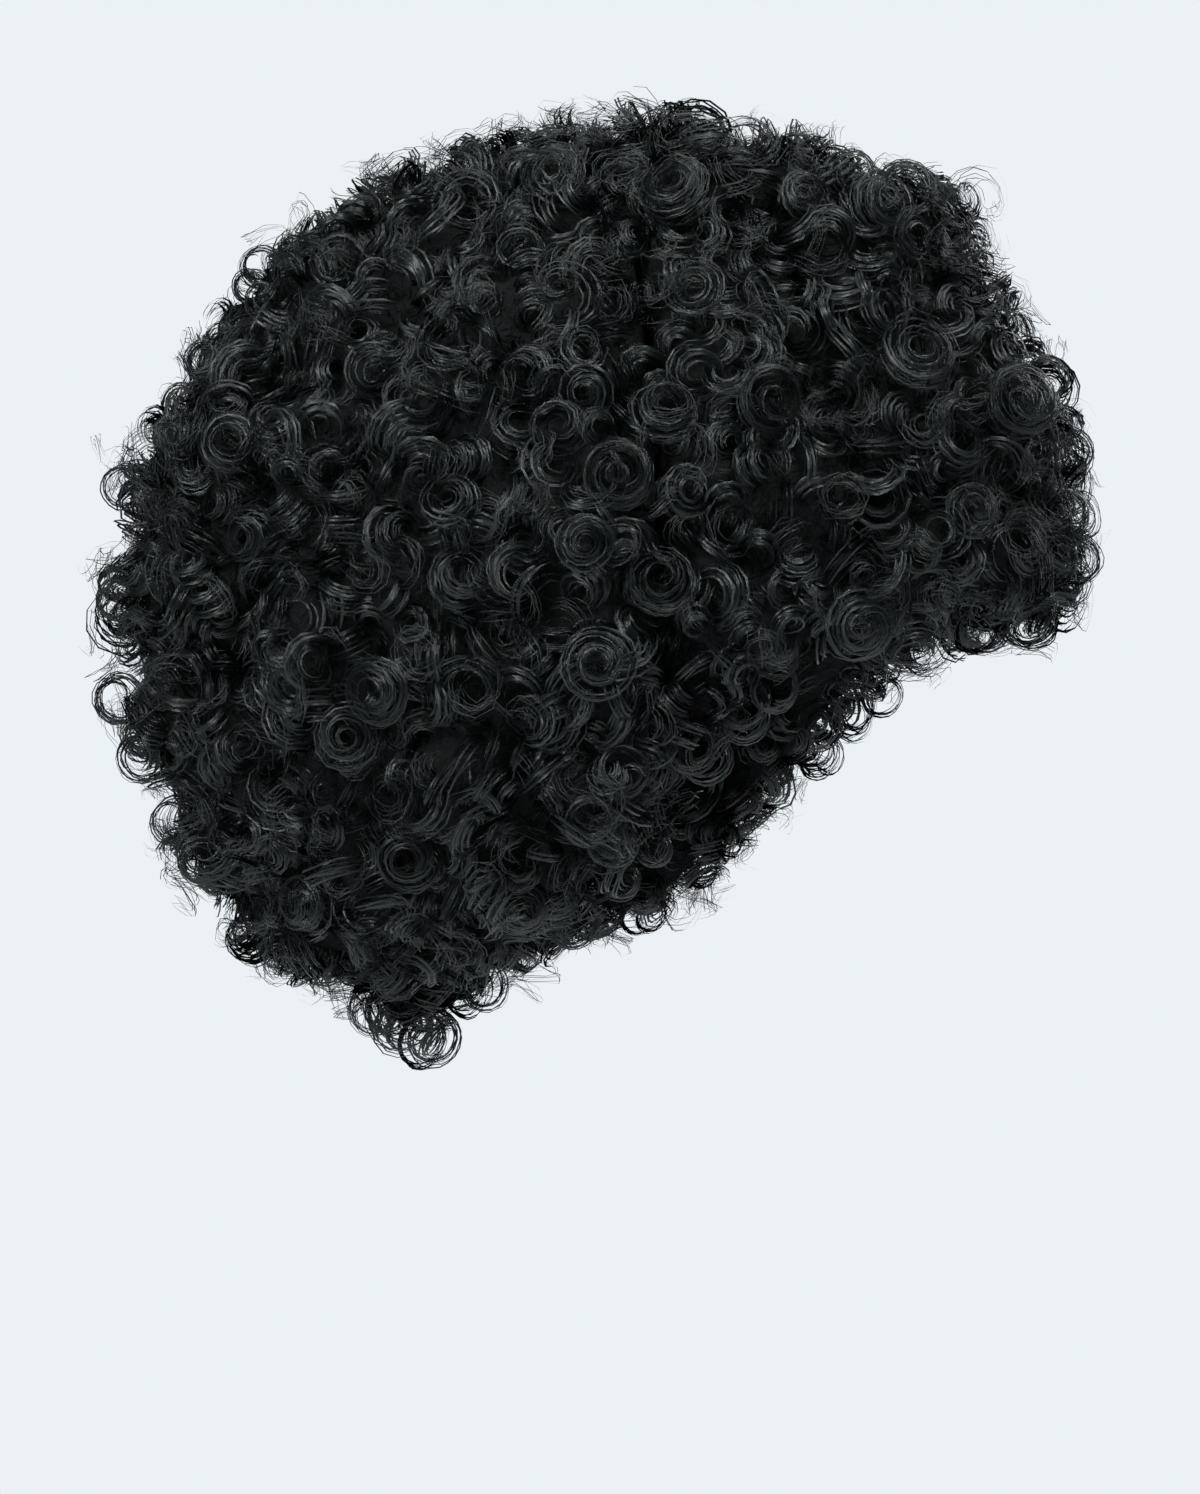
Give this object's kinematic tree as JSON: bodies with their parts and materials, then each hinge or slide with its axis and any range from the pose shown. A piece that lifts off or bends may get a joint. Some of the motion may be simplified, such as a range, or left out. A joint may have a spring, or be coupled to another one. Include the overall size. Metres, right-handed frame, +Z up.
{
  "type": "afro wig",
  "caption": "Full round afro wig in tight curls, dressed in zones over a thin stretch cap with an elastic rim and an open head hollow.",
  "frame": {"origin": "the point inside the cap that sits on the top of the head", "axes": "+Z up, the open face looks along -Y, +X towards the wearer's left"},
  "size_m": [0.3214, 0.3369, 0.3179],
  "materials": {
    "hair": "black synthetic fibre in tight curls, softly glossy",
    "cap_net": "black stretch net, matte",
    "cap_elastic": "black woven elastic, matte"
  },
  "bodies": {
    "root": {"cap": "cap_net", "cap_rim": "cap_elastic", "hair_crown": "hair", "hair_fringe": "hair", "hair_temple_left": "hair", "hair_temple_right": "hair", "hair_side_left": "hair", "hair_side_right": "hair", "hair_back": "hair", "hair_nape": "hair"}
  },
  "joints": []
}
